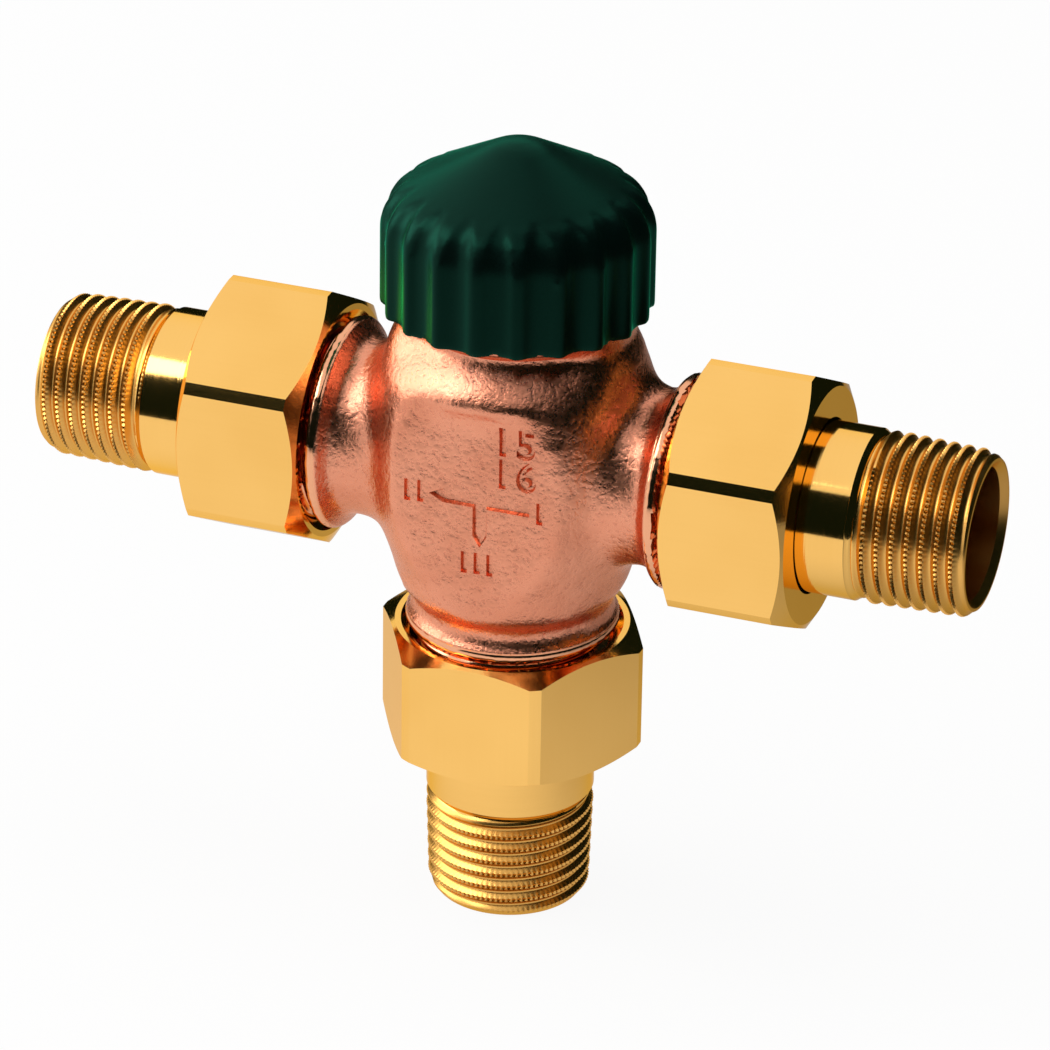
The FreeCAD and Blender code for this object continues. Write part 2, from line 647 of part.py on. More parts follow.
flute_sketch.addConstraint(Sketcher.Constraint("PointOnObject", 0, 3, -1))
flute_sketch.addConstraint(Sketcher.Constraint("DistanceX", -1, 1, 0, 3, middle.x))
flute_sketch.addConstraint(Sketcher.Constraint("Radius", 0, number("flute_r")))
flute_sketch.setExpression("Constraints[1]", formula(FLUTE_R))
flute_sketch.setExpression("Constraints[2]", formula("flute_r"))

# The flute's path: straight up the side, then round over the shoulder until it runs out.
path = cap.newObject("Sketcher::SketchObject", "FlutePath")
path.AttachmentSupport = [(cap.Origin.OriginFeatures[4], "")]
path.MapMode = "FlatFace"
bend = FreeCAD.Vector(number(FLUTE_R), number(FLUTE_TURN), 0)
hub = bend - FreeCAD.Vector(number("flute_path_r"), 0, 0)
swing = math.radians(number("flute_swing"))
path.addGeometry(Part.LineSegment(middle, bend), False)
round_over = Part.Circle(hub, FreeCAD.Vector(0, 0, 1), number("flute_path_r"))
path.addGeometry(Part.ArcOfCircle(round_over, 0, swing), False)
path.addConstraint(Sketcher.Constraint("PointOnObject", 0, 1, -1))
path.addConstraint(Sketcher.Constraint("Vertical", 0))
path.addConstraint(Sketcher.Constraint("Coincident", 0, 2, 1, 1))
path.addConstraint(Sketcher.Constraint("Horizontal", 1, 3, 1, 1))
for kind, spot, value in (("DistanceX", (0, 2), FLUTE_R), ("DistanceY", (0, 2), FLUTE_TURN),
                          ("DistanceX", (1, 3), FLUTE_R + " - flute_path_r"),
                          ("DistanceY", (1, 2), FLUTE_TURN + " + flute_path_r * sin(flute_swing * 1 deg)")):
    mark = path.addConstraint(Sketcher.Constraint(kind, -1, 1, spot[0], spot[1], number(value)))
    path.setExpression("Constraints[%d]" % mark, formula(value))
flute = cap.newObject("PartDesign::SubtractivePipe", "Flute")
flute.Profile = flute_sketch
flute.Spine = (path, ["Edge1", "Edge2"])
ring_of_flutes = cap.newObject("PartDesign::PolarPattern", "Flutes")
ring_of_flutes.Originals = [flute]
ring_of_flutes.Axis = (cap.Origin.OriginFeatures[2], [""])
ring_of_flutes.Angle = 360.0
bind(ring_of_flutes, Occurrences="flute_count")
cap.Tip = ring_of_flutes
stand(cap, FreeCAD.Rotation(FreeCAD.Vector(0, 0, 1), number("cap_turn")))
cap.setExpression("Placement.Rotation.Angle", formula("cap_turn * 1 deg"))
finish(cap, "protective_cap")

doc.recompute()

for thing in doc.Objects:
    if "Invalid" in thing.State or "Error" in thing.State:
        raise RuntimeError("feature failed: %s (%s)" % (thing.Label, thing.State))
for thing in finished:
    if thing.Shape.isNull() or not thing.Shape.isValid() or len(thing.Shape.Solids) != 1:
        raise RuntimeError("bad solid: %s" % thing.Label)
    thing.Shape.exportStep("parts/%s.step" % thing.Label)
    print("%-18s %9.1f mm3" % (thing.Label, thing.Shape.Volume))
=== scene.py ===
# %% [markdown]
# # A three-way diverting valve
# The real valve is a sand-cast gunmetal body with three union connections and a moulded
# green cap that doubles as a handwheel. The solids already stand in the frame, each on the
# body that it moves with. This lesson dresses them: a softened casting with sunk flow marks,
# a rounded cap, cut pipe threads, and finishes that are made of nodes alone.

# %% Load the frame
import math

import bmesh
import bpy
from mathutils import Matrix, Vector


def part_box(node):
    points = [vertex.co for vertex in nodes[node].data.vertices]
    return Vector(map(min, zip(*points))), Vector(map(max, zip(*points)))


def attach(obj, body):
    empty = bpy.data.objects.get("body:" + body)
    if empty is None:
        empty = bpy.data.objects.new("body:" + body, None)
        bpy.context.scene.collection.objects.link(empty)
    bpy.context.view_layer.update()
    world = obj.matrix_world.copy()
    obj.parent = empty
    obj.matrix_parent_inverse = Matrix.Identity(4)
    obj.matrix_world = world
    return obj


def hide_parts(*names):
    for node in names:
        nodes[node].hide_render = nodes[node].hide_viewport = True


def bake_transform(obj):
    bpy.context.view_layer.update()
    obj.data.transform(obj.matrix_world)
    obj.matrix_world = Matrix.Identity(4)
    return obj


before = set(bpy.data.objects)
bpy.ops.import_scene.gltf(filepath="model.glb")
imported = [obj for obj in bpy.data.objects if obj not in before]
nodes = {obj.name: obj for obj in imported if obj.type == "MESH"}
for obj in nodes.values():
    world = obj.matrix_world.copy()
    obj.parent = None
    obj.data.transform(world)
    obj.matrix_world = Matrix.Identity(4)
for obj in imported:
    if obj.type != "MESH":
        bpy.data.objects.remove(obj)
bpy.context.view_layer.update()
MM = 0.001
CROSSING = Vector((0, 0, 60 * MM))
print("solids in the frame:", len(nodes))

# %% [markdown]
# ## Meshes and objects
# Whatever is made below is first some data, such as a mesh or a lamp, and then an object that
# shows it. Most shapes start as a line of points that is spun about an axis. A few short
# functions do these chores, so that each step can keep to its own subject.

# %% Make meshes and objects
def new_object(name, data):
    """An object that shows some data, linked into the scene."""
    made = bpy.data.objects.new(name, data)
    bpy.context.scene.collection.objects.link(made)
    return made


def new_mesh(name, bm):
    """Turns a bmesh into a mesh."""
    mesh = bpy.data.meshes.new(name)
    bm.to_mesh(mesh)
    bm.free()
    return mesh


def settled(blank):
    """The mesh of an object with its modifiers worked out. The object itself goes."""
    shown = blank.evaluated_get(bpy.context.evaluated_depsgraph_get())
    mesh = bpy.data.meshes.new_from_object(shown)
    bpy.data.objects.remove(blank)
    return mesh


def line_of(bm, places):
    """Points in a row with the edges that join them."""
    points = [bm.verts.new(place) for place in places]
    return points + [bm.edges.new(pair) for pair in zip(points, points[1:])]


def all_of(bm):
    return list(bm.verts) + list(bm.edges) + list(bm.faces)


def verts_of(geom):
    return [item for item in geom if isinstance(item, bmesh.types.BMVert)]


print("meshes can be made")

# %% [markdown]
# ## The camera
# The valve was photographed with a long lens from a little to the right and well above.
# A camera can be turned by hand until the picture looks right, or worked out from angles.
# Here its three axes come from a bearing, a height angle and a small roll, and the point
# where the three ports cross is then put on its own pixel, so every number can be checked.

# %% Set up the camera
BEARING = math.radians(20.25)
HEIGHT_ANGLE = math.radians(26.64)
ROLL = math.radians(0.91)
DISTANCE = 739 * MM
PIXELS = 1050
FOCAL_PIXELS = 6064
CROSSING_PIXEL = (515.0, 451.0)
SENSOR = 36

back = Vector((math.sin(BEARING) * math.cos(HEIGHT_ANGLE),
               -math.cos(BEARING) * math.cos(HEIGHT_ANGLE),
               math.sin(HEIGHT_ANGLE)))
level = Vector((math.cos(BEARING), math.sin(BEARING), 0))
right = Matrix.Rotation(ROLL, 3, back) @ level
up = back.cross(right)
across = (CROSSING_PIXEL[0] - PIXELS / 2) / FOCAL_PIXELS * DISTANCE
above = (PIXELS / 2 - CROSSING_PIXEL[1]) / FOCAL_PIXELS * DISTANCE
stand = CROSSING - right * across - up * above + back * DISTANCE

lens = bpy.data.cameras.new("camera")
lens.sensor_width = SENSOR
lens.lens = FOCAL_PIXELS / PIXELS * SENSOR
camera = new_object("camera", lens)
turn = Matrix((right, up, back)).transposed().to_4x4()
camera.matrix_world = Matrix.Translation(stand) @ turn
bpy.context.scene.camera = camera
print("camera at", [round(number, 4) for number in stand], "lens", round(lens.lens, 1), "mm")

# %% [markdown]
# ## Finishes written as sums
# A finish is a tree of nodes. Linking every Math node by hand hides what is being worked
# out, so a small class wraps a socket and lets Python's own operators add the nodes. Every
# other kind of node comes from one method, which sets its choices first and then fills or
# links its sockets.

# %% Wrap sockets and trees
class Value:
    """One socket of a node tree. Sums on it add Math nodes."""

    def __init__(self, tree, socket):
        self.tree = tree
        self.socket = socket

    def __add__(self, other):
        return self.tree.math("ADD", self, other)

    def __radd__(self, other):
        return self.tree.math("ADD", other, self)

    def __sub__(self, other):
        return self.tree.math("SUBTRACT", self, other)

    def __rsub__(self, other):
        return self.tree.math("SUBTRACT", other, self)

    def __mul__(self, other):
        return self.tree.math("MULTIPLY", self, other)

    def __rmul__(self, other):
        return self.tree.math("MULTIPLY", other, self)


class Tree:
    """A node tree that is being written, with one method that adds any node."""

    def __init__(self, tree):
        self.tree = tree
        self.tree.nodes.clear()

    def node(self, kind, settings, sockets, output=0):
        made = self.tree.nodes.new(kind)
        for name, setting in settings.items():
            setattr(made, name, setting)
        for key, value in sockets.items():
            if isinstance(value, Value):
                self.tree.links.new(value.socket, made.inputs[key])
            else:
                made.inputs[key].default_value = value
        return Value(self, made.outputs[output]) if len(made.outputs) else None

    def math(self, operation, *values):
        return self.node("ShaderNodeMath", {"operation": operation}, dict(enumerate(values)))

    def place(self):
        return self.node("ShaderNodeTexCoord", {}, {}, "Object")

    def noise(self, at, scale, detail=2.0, roughness=0.5):
        return self.node("ShaderNodeTexNoise", {}, {
            "Vector": at, "Scale": scale, "Detail": detail, "Roughness": roughness})

    def step(self, value, low, high):
        return self.node("ShaderNodeMapRange", {"interpolation_type": "SMOOTHSTEP"}, {
            "Value": value, "From Min": low, "From Max": high})

    def blend(self, factor, first, second):
        return self.node("ShaderNodeMix", {"data_type": "RGBA"}, {
            0: factor, 6: first, 7: second}, 2)

    def stretch(self, at, scale):
        return self.node("ShaderNodeMapping", {}, {"Vector": at, "Scale": scale})

    def bump(self, height, distance):
        return self.node("ShaderNodeBump", {}, {
            "Height": height, "Distance": distance, "Strength": 1.0})

    def principled(self, **sockets):
        named = {key.replace("_", " "): value for key, value in sockets.items()}
        return self.node("ShaderNodeBsdfPrincipled", {}, named)

    def mix(self, factor, first, second):
        return self.node("ShaderNodeMixShader", {}, {0: factor, 1: first, 2: second})

    def show(self, shader):
        self.node("ShaderNodeOutputMaterial", {}, {"Surface": shader})


def new_finish(name):
    material = bpy.data.materials.new(name)
    material.use_nodes = True
    return material, Tree(material.node_tree)


print("finishes can be written")

# %% [markdown]
# ## The studio
# The valve stands on a pale floor in soft, even light. A white background could be had by
# flooding the scene with light, but that would also bleach the brass. Instead the floor and
# the sky are simply seen as white, by the camera and in reflections, while the lamps stay
# at a plain level and the floor keeps the shadow. In reflections the floor's white is dimmed
# towards the back and the right: a painted shade for the shadow that falls there when the
# large lamps stand at the left.

# %% Lay the floor
WHITE = (1, 1, 1, 1)
FLOOR_MATT = (0.86, 0.86, 0.85, 1)
FLOOR_HALF = 3.0
FLOOR_SHOWN = 0.93
FLOOR_MIRRORED = 0.8
# Which way the painted shade on the reflected floor runs, where it starts and ends, and how deep
# it is.
FALL_TOWARDS = (0.6, 0.8)
FALL_FROM = -0.06
FALL_TO = 0.13
FALL_SHARE = 0.75


def rays(tree):
    """How a ray came: 1 for the camera's own, and 1 for a reflection or a clear material."""
    path = tree.node("ShaderNodeLightPath", {}, {})
    outs = path.socket.node.outputs
    seen = Value(tree, outs["Is Camera Ray"])
    mirrored = Value(tree, outs["Is Glossy Ray"]) + Value(tree, outs["Is Transmission Ray"])
    return seen, tree.math("MINIMUM", mirrored, 1 - seen)


def part_xyz(tree, at):
    """The three numbers of a place."""
    first = tree.node("ShaderNodeSeparateXYZ", {}, {"Vector": at}, "X")
    outs = first.socket.node.outputs
    return first, Value(tree, outs["Y"]), Value(tree, outs["Z"])


bm = bmesh.new()
bmesh.ops.create_grid(bm, x_segments=1, y_segments=1, size=FLOOR_HALF)
floor = new_object("floor", new_mesh("floor", bm))
pale_floor, tree = new_finish("pale_floor")
x, y, _ = part_xyz(tree, tree.place())
# Painted shade: the floor's white, as reflections see it, dims towards the back and the right.
painted_shade_step = tree.step(x * FALL_TOWARDS[0] + y * FALL_TOWARDS[1], FALL_FROM, FALL_TO)
painted_shade_dimming = 1 - painted_shade_step * FALL_SHARE
seen, mirrored = rays(tree)
matt = tree.node("ShaderNodeBsdfDiffuse", {}, {"Color": FLOOR_MATT})
shown = tree.node("ShaderNodeEmission", {}, {
    "Color": WHITE, "Strength": seen + mirrored * painted_shade_dimming})
tree.show(tree.mix(seen * FLOOR_SHOWN + mirrored * FLOOR_MIRRORED, matt, shown))
floor.data.materials.append(pale_floor)
print("floor laid,", 2 * FLOOR_HALF, "m wide")

# %% [markdown]
# The sky is white where it is seen and dimmer where it lights. Two softboxes stand at the
# left: a wide one that draws the white line along the left shank, and one low down that
# whitens the left shoulder of the casting. A third hangs above and only lights. Each is given
# by its place, its size, its watts and whether reflections see it, and faces the crossing.

# %% Light the studio
SKY_LIGHT = 0.32
SOFTBOXES = {
    "wide_softbox": ((-0.607, -0.367, 0.83), (0.8, 0.4), 4.0, True),
    "low_softbox": ((-1.0, -0.12, 0.40), (0.7, 0.5), 3.0, True),
    "top_softbox": ((0.05, 0.1, 1.1), (0.8, 0.8), 5.0, False),
}

world = bpy.data.worlds.new("studio")
world.use_nodes = True
bpy.context.scene.world = world
tree = Tree(world.node_tree)
seen, mirrored = rays(tree)
sky = tree.node("ShaderNodeBackground", {}, {
    "Color": WHITE, "Strength": (seen + mirrored) * (1 - SKY_LIGHT) + SKY_LIGHT})
tree.node("ShaderNodeOutputWorld", {}, {"Surface": sky})

for name, (place, size, watts, mirrored) in SOFTBOXES.items():
    lamp = bpy.data.lights.new(name, "AREA")
    lamp.shape = "RECTANGLE"
    lamp.size, lamp.size_y = size
    lamp.energy = watts
    softbox = new_object(name, lamp)
    facing = (CROSSING - Vector(place)).to_track_quat("-Z", "Y")
    softbox.matrix_world = Matrix.Translation(place) @ facing.to_matrix().to_4x4()
    softbox.visible_glossy = mirrored
bpy.context.scene.view_settings.view_transform = "Standard"
print("studio lit by", len(SOFTBOXES), "softboxes")

# %% [markdown]
# The front, the right, the ceiling and the far horizon of the studio were dark when the
# picture was taken: polished brass shows it as a black band across every round and as dark
# crests on the threads, and the casting's right shoulder is black with it. Two dark screens
# stand there as bent cards with slanting tops, and a dark disc hangs overhead. Only
# reflections see them, so they take no light from the valve and are never in the picture.
# A screen is given by its bearing and sweep in degrees, and by the middle and the slant of
# its top.

# %% Stand up the dark screens
FELT = (0.006, 0.011, 0.008, 1)
SCREEN_REACH = 0.85
SCREEN_TALL = 2.6
SCREEN_STEPS = 40
MAT_REACH = 0.28
MAT_LIFT = 0.002
SCREENS = {
    "front_screen": (-122, 162, 1.69, (-0.142, -0.957, 1.0)),
    "back_screen": (40, 125, 0.824, (-0.630, 0.301, 1.0)),
}
CEILING_AT = (0.50, 0.05, 1.3)
CEILING_R = 0.42
CEILING_SIDES = 48

dark_felt, tree = new_finish("dark_felt")
tree.show(tree.node("ShaderNodeEmission", {}, {"Color": FELT, "Strength": 1.0}))


def stand_dark(name, bm):
    """Turns a bmesh into a dark card that only reflections see."""
    card = new_object(name, new_mesh(name, bm))
    card.data.materials.append(dark_felt)
    card.visible_camera = False
    card.visible_diffuse = False
    card.visible_shadow = False
    print(name, "has", len(card.data.polygons), "faces")


for name, (start, sweep, middle, slant) in SCREENS.items():
    bm = bmesh.new()
    edge_of_card = line_of(bm, [(MAT_REACH, 0, MAT_LIFT), (SCREEN_REACH, 0, MAT_LIFT),
                                (SCREEN_REACH, 0, SCREEN_TALL)])
    bmesh.ops.rotate(bm, verts=bm.verts, matrix=Matrix.Rotation(math.radians(start), 3, "Z"))
    bmesh.ops.spin(bm, geom=edge_of_card, axis=(0, 0, 1), cent=(0, 0, 0),
                   angle=math.radians(sweep), steps=SCREEN_STEPS)
    bmesh.ops.bisect_plane(bm, geom=all_of(bm), clear_outer=True,
                           plane_co=(0, 0, middle), plane_no=slant)
    stand_dark(name, bm)
bm = bmesh.new()
bmesh.ops.create_circle(bm, cap_ends=True, segments=CEILING_SIDES, radius=CEILING_R,
                        matrix=Matrix.Translation(CEILING_AT))
stand_dark("dark_ceiling", bm)

# %% [markdown]
# ## How far out along a port
# Two finishes change along the ports: the casting is turned bright at its union ends, and the
# tails are duller where the thread is cut. Both need the distance from the port crossing,
# which is the larger of the way sideways and the way down.

# %% Measure the reach
def reach_of(tree, at):
    """The distance from the port crossing along the nearest port."""
    x, _, z = part_xyz(tree, at)
    return tree.math("MAXIMUM", tree.math("ABSOLUTE", x), CROSSING.z - z)


print("reach is measured from", [round(number, 3) for number in CROSSING])

# %% [markdown]
# ## Cast gunmetal
# The body is poured in sand, knocked out and grit blasted, so its skin is a fine grain of
# about half a millimetre over small dents, with a pink, coppery colour. Three noises of
# different sizes give the grain, the dents and the colour. The union ends were turned after
# casting, so past a set reach from the crossing the grain stops and the metal is brighter.

# %% Write the cast finish
GRAIN = 1500
DENTS = 420
STAIN = 75
GRAIN_HIGH = 0.7
DENTS_HIGH = 0.8
CAST_RELIEF = 0.19 * MM
CAST_CLEAN = (0.85, 0.335, 0.200, 1)
CAST_STAINED = (0.74, 0.265, 0.150, 1)
CAST_PITS = (0.42, 0.13, 0.08, 1)
CAST_TURNED = (0.86, 0.40, 0.22, 1)
CAST_EDGE_ON = (1.0, 0.70, 0.52, 1)
PITS_SHARE = 0.4
TURNED_ROUGH = 0.14
CAST_ROUGHER = 0.04
GRAIN_ROUGHER = 0.2
MACHINED_REACH = 21.2 * MM
MACHINED_BLUR = 0.15 * MM

cast_gunmetal, tree = new_finish("cast_gunmetal")
at = tree.place()
grain = tree.noise(at, GRAIN, 3.0, 0.65)
dents = tree.noise(at, DENTS)
stain = tree.noise(at, STAIN, 3.0, 0.6)
cast = tree.step(reach_of(tree, at),
                 MACHINED_REACH + MACHINED_BLUR, MACHINED_REACH - MACHINED_BLUR)
stained = tree.blend(tree.step(stain, 0.35, 0.68), CAST_CLEAN, CAST_STAINED)
sandy = tree.blend(tree.step(grain, 0.46, 0.30) * PITS_SHARE, stained, CAST_PITS)
height = (grain * GRAIN_HIGH + dents * DENTS_HIGH) * cast
tree.show(tree.principled(
    Base_Color=tree.blend(cast, CAST_TURNED, sandy), Metallic=1.0, Specular_Tint=CAST_EDGE_ON,
    Roughness=TURNED_ROUGH + cast * (grain * GRAIN_ROUGHER + CAST_ROUGHER),
    Coat_Weight=0.25, Coat_Roughness=0.22, Normal=tree.bump(height, CAST_RELIEF)))
print("cast finish written")

# %% [markdown]
# ## Turned and drawn brass
# The tails come off a lathe, and the nuts are cut from drawn hexagon bar. Both are bright,
# golden and nearly mirror smooth, with very fine tool lines. On the tails the lines run
# round the axis, so the pattern is squeezed along it; on the nuts they run along the bar.
# The cut of the pipe thread is left rougher and a little browner than the shank.

# %% Write the brass finishes
TOOL_LINE = 5200
ALONG = 60
CLOUD = 60
LINE_RELIEF = 0.004 * MM
BRASS = (0.98, 0.575, 0.165, 1)
BRASS_DEEP = (0.90, 0.50, 0.125, 1)
BRASS_CUT = (0.80, 0.43, 0.11, 1)
BRASS_EDGE_ON = (1.0, 0.74, 0.36, 1)
TURNED_POLISH = 0.04
DRAWN_POLISH = 0.06
INNER_POLISH = 0.16
CUT_REACH = 46.1 * MM
CUT_BLUR = 0.4 * MM
CUT_ROUGHER = 0.2


def brass(name, squeeze, polish):
    material, tree = new_finish(name)
    at = tree.place()
    lines = tree.noise(tree.stretch(at, squeeze), 1.0)
    cloud = tree.noise(at, CLOUD)
    cut = tree.step(reach_of(tree, at), CUT_REACH, CUT_REACH + CUT_BLUR)
    deep = tree.step(cloud, 0.3, 0.75) * 0.5 + lines * 0.25
    bright = tree.blend(deep, BRASS, BRASS_DEEP)
    tree.show(tree.principled(
        Base_Color=tree.blend(cut, bright, BRASS_CUT), Metallic=1.0,
        Roughness=polish + lines * 0.07 + cloud * 0.03 + cut * CUT_ROUGHER,
        Specular_Tint=BRASS_EDGE_ON, Normal=tree.bump(lines, LINE_RELIEF)))
    return material


turned_brass = {
    "right": brass("turned_brass_across", (TOOL_LINE, ALONG, ALONG), TURNED_POLISH),
    "bottom": brass("turned_brass_upright", (ALONG, ALONG, TOOL_LINE), TURNED_POLISH),
}
turned_brass["left"] = turned_brass["right"]
drawn_brass = {
    "right": brass("drawn_brass_across", (ALONG, TOOL_LINE, TOOL_LINE), DRAWN_POLISH),
    "bottom": brass("drawn_brass_upright", (TOOL_LINE, TOOL_LINE, ALONG), DRAWN_POLISH),
}
drawn_brass["left"] = drawn_brass["right"]
print("brass finishes written")

# %% [markdown]
# ## Green moulded plastic
# The cap is injection moulded in a very dark green. Its colour hardly changes, so the life is
# in the gloss, which is green as well. A plain gloss layer would lay a grey veil over such a
# dark colour, so a matt green and a green mirror are mixed, with more of the mirror where the
# surface is seen edge on. A fine spark-eroded texture comes from the mould, and there are slow
# sink marks and places polished by hands.

# %% Write the plastic finish
MOULD_SKIN = 2600
HAND_RUB = 140
SINK_MARKS = 45
PLASTIC_RELIEF = 0.1 * MM
MATT_GREEN = (0.0002, 0.0034, 0.0026, 1)
RUBBED_GREEN = (0.0004, 0.0046, 0.0036, 1)
MIRROR_GREEN = (0.12, 0.95, 0.60, 1)
GLOSS_IOR = 1.27

green_plastic, tree = new_finish("green_plastic")
at = tree.place()
skin = tree.noise(at, MOULD_SKIN, 2.0, 0.6)
rub = tree.noise(at, HAND_RUB, 4.0, 0.65)
sink = tree.noise(at, SINK_MARKS, 1.0)
relief = tree.bump(skin * 0.1 + sink * 0.5, PLASTIC_RELIEF)
matt = tree.principled(
    Base_Color=tree.blend(tree.step(rub, 0.35, 0.75), MATT_GREEN, RUBBED_GREEN),
    Roughness=0.6 + rub * 0.1, Specular_IOR_Level=0.03, Normal=relief)
mirror = tree.principled(
    Base_Color=MIRROR_GREEN, Metallic=1.0, Specular_Tint=MIRROR_GREEN,
    Roughness=0.24 + rub * 0.1 + skin * 0.05, Normal=relief)
edge_on = tree.node("ShaderNodeFresnel", {}, {"IOR": GLOSS_IOR, "Normal": relief})
tree.show(tree.mix(edge_on, matt, mirror))
print("plastic finish written")

# %% [markdown]
# ## The finishes inside
# The stem and its spring are stainless steel, the seals and rings black moulded rubber, and
# the union gaskets grey-brown pressed fibre. They only show when a union is pulled apart,
# but each still gets its own grain.

# %% Write the inner finishes
STEEL_LINES = (80, 80, 4200)
STEEL = ((0.56, 0.56, 0.57, 1), (0.64, 0.64, 0.65, 1))
STEEL_RELIEF = 0.006 * MM
RUBBER = ((0.014, 0.014, 0.015, 1), (0.034, 0.034, 0.035, 1))
RUBBER_RELIEF = 0.03 * MM
STRANDS = (900, 2600, 900)
FIBRE = ((0.13, 0.115, 0.095, 1), (0.27, 0.245, 0.205, 1))
FIBRE_RELIEF = 0.06 * MM

steel, tree = new_finish("turned_steel")
at = tree.place()
lines = tree.noise(tree.stretch(at, STEEL_LINES), 1.0)
tint = tree.noise(at, 120)
tree.show(tree.principled(
    Base_Color=tree.blend(tint, *STEEL), Metallic=1.0,
    Roughness=0.22 + lines * 0.14, Normal=tree.bump(lines, STEEL_RELIEF)))

rubber, tree = new_finish("moulded_rubber")
at = tree.place()
bloom = tree.noise(at, 300, 3.0)
skin = tree.noise(at, 2400)
tree.show(tree.principled(
    Base_Color=tree.blend(bloom, *RUBBER),
    Roughness=0.55 + bloom * 0.2, Normal=tree.bump(skin, RUBBER_RELIEF)))

fibre, tree = new_finish("pressed_fibre")
strands = tree.noise(tree.stretch(tree.place(), STRANDS), 1.0, 4.0, 0.7)
tree.show(tree.principled(
    Base_Color=tree.blend(strands, *FIBRE),
    Roughness=0.78 + strands * 0.1, Normal=tree.bump(strands, FIBRE_RELIEF)))

inner_brass = brass("inner_brass", (ALONG, ALONG, TOOL_LINE), INNER_POLISH)
print("inner finishes written")

# %% [markdown]
# ## Dressing the solids
# A solid whose shape is already right only needs its finish, which goes into its material
# slots. A table says which finish each solid wears.

# %% Give each solid its finish
worn = {
    "valve_body": cast_gunmetal,
    "protective_cap": green_plastic,
    "stem": steel,
    "return_spring": steel,
    "lock_nut": steel,
    "upper_disc": inner_brass,
    "lower_disc": inner_brass,
    "spacer_sleeve": inner_brass,
    "bonnet": inner_brass,
    "gland_nut": inner_brass,
    "upper_seal": rubber,
    "lower_seal": rubber,
    "bonnet_o_ring": rubber,
    "stem_o_ring_lower": rubber,
    "stem_o_ring_upper": rubber,
}
for side in ("right", "left", "bottom"):
    worn["union_nut_" + side] = drawn_brass[side]
    worn["tail_" + side] = turned_brass[side]
    worn["gasket_" + side] = fibre
for name, solid in nodes.items():
    for slot in solid.material_slots:
        slot.material = worn[name]
print("dressed", len(worn), "of", len(nodes), "solids")

# %% [markdown]
# ## The casting
# A sand casting has no sharp edge anywhere the mould touched it. The solid could be given a
# fillet on every edge, but where several forms run together a casting melts them into one
# skin. So a copy of the solid is merged and rebuilt as an even net of small squares, which can
# then be pushed and rubbed like clay.

# %% Make a net of a solid
SHARP_ANGLE = math.radians(35)
MERGE = 0.002 * MM


def put(name, bm, body, finish):
    """Turns a bmesh into a piece that rides on a body, or on none yet."""
    mesh = new_mesh(name, bm)
    piece = new_object(name, mesh)
    mesh.materials.append(finish)
    mesh.shade_smooth()
    mesh.set_sharp_from_angle(angle=SHARP_ANGLE)
    if body:
        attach(piece, body)
    print(name, "has", len(mesh.polygons), "faces")
    return piece


def finished(name, bm, add_modifiers):
    """Gives a bmesh its modifiers and returns the result as a new bmesh."""
    blank = new_object(name, new_mesh(name, bm))
    add_modifiers(blank)
    bm = bmesh.new()
    bm.from_mesh(settled(blank))
    return bm


def net_of(node, mesh_width):
    """A merged copy of a solid, rebuilt as a net of even squares."""
    bm = bmesh.new()
    bm.from_mesh(nodes[node].data)
    bmesh.ops.remove_doubles(bm, verts=bm.verts, dist=MERGE)

    def remesh(blank):
        net = blank.modifiers.new("net", "REMESH")
        net.mode = "VOXEL"
        net.voxel_size = mesh_width

    return finished("net_of_" + node, bm, remesh)


print("nets can be made")

# %% [markdown]
# Under the cap the front and the back of the casting are drawn in to a shallow cove, which
# catches the light. A cove that began at a line would show it, so its depth comes and goes
# with soft steps: upwards, outwards from the neck, and round from the front to the sides.

# %% Draw in the cove
BODY_NET = 0.5 * MM
COVE_DEEP = 2.3 * MM
COVE_RISE = (12.2 * MM, 16.6 * MM)
COVE_TOP = (17.6 * MM, 19.6 * MM)
COVE_WALL = (11.0 * MM, 14.0 * MM)
COVE_FACING = (0.35, 0.8)


def ease(value, start_and_end):
    """A soft step from 0 at the start to 1 at the end."""
    start, end = start_and_end
    share = min(1.0, max(0.0, (value - start) / (end - start)))
    return share * share * (3 - 2 * share)


casting = net_of("valve_body", BODY_NET)
for vert in casting.verts:
    x, y, z = vert.co - CROSSING
    hollow = COVE_DEEP * (ease(z, COVE_RISE) - ease(z, COVE_TOP))
    if hollow > 0:
        radius = math.hypot(x, y)
        inward = hollow * ease(abs(y) / radius, COVE_FACING) * ease(radius, COVE_WALL)
        vert.co.x -= inward * x / radius
        vert.co.y -= inward * y / radius
print("casting net has", len(casting.verts), "points")

# %% [markdown]
# The part between the three union faces and the cap is then rubbed down, most of all where the
# shoulder meets the flat pads and at the roots of the arms, while the machined ends stay crisp.
# The plain spigots are pared to the foot of the thread that they will carry.

# %% Rub the casting down
BODY_RUBS = 12
MELT_RUBS = 36
RUB_SHARE = 0.5
MACHINED_FROM = 20.6 * MM
CAP_LINE = 17.0 * MM
PAD_EDGE = (8.5 * MM, 16.0 * MM)
PAD_DEEP = 9.0 * MM
ARM_ROOT = (11.0 * MM, 18.0 * MM)
ARM_TOP = 14.5 * MM


def rub_down(bm, verts, times):
    """Draws points towards their neighbours, again and again."""
    for _ in range(times):
        bmesh.ops.smooth_vert(bm, verts=verts, factor=RUB_SHARE,
                              use_axis_x=True, use_axis_y=True, use_axis_z=True)


soft = []
melted = []
for vert in casting.verts:
    x, y, z = vert.co - CROSSING
    if abs(x) < MACHINED_FROM and -MACHINED_FROM < z < CAP_LINE:
        soft.append(vert)
        pad_edge = PAD_EDGE[0] < z < PAD_EDGE[1] and abs(y) > PAD_DEEP
        arm_root = ARM_ROOT[0] < abs(x) < ARM_ROOT[1] and z < ARM_TOP
        if pad_edge or arm_root:
            melted.append(vert)
rub_down(casting, soft, BODY_RUBS)
rub_down(casting, melted, MELT_RUBS)
print(len(soft), "points rubbed down,", len(melted), "of them melted")

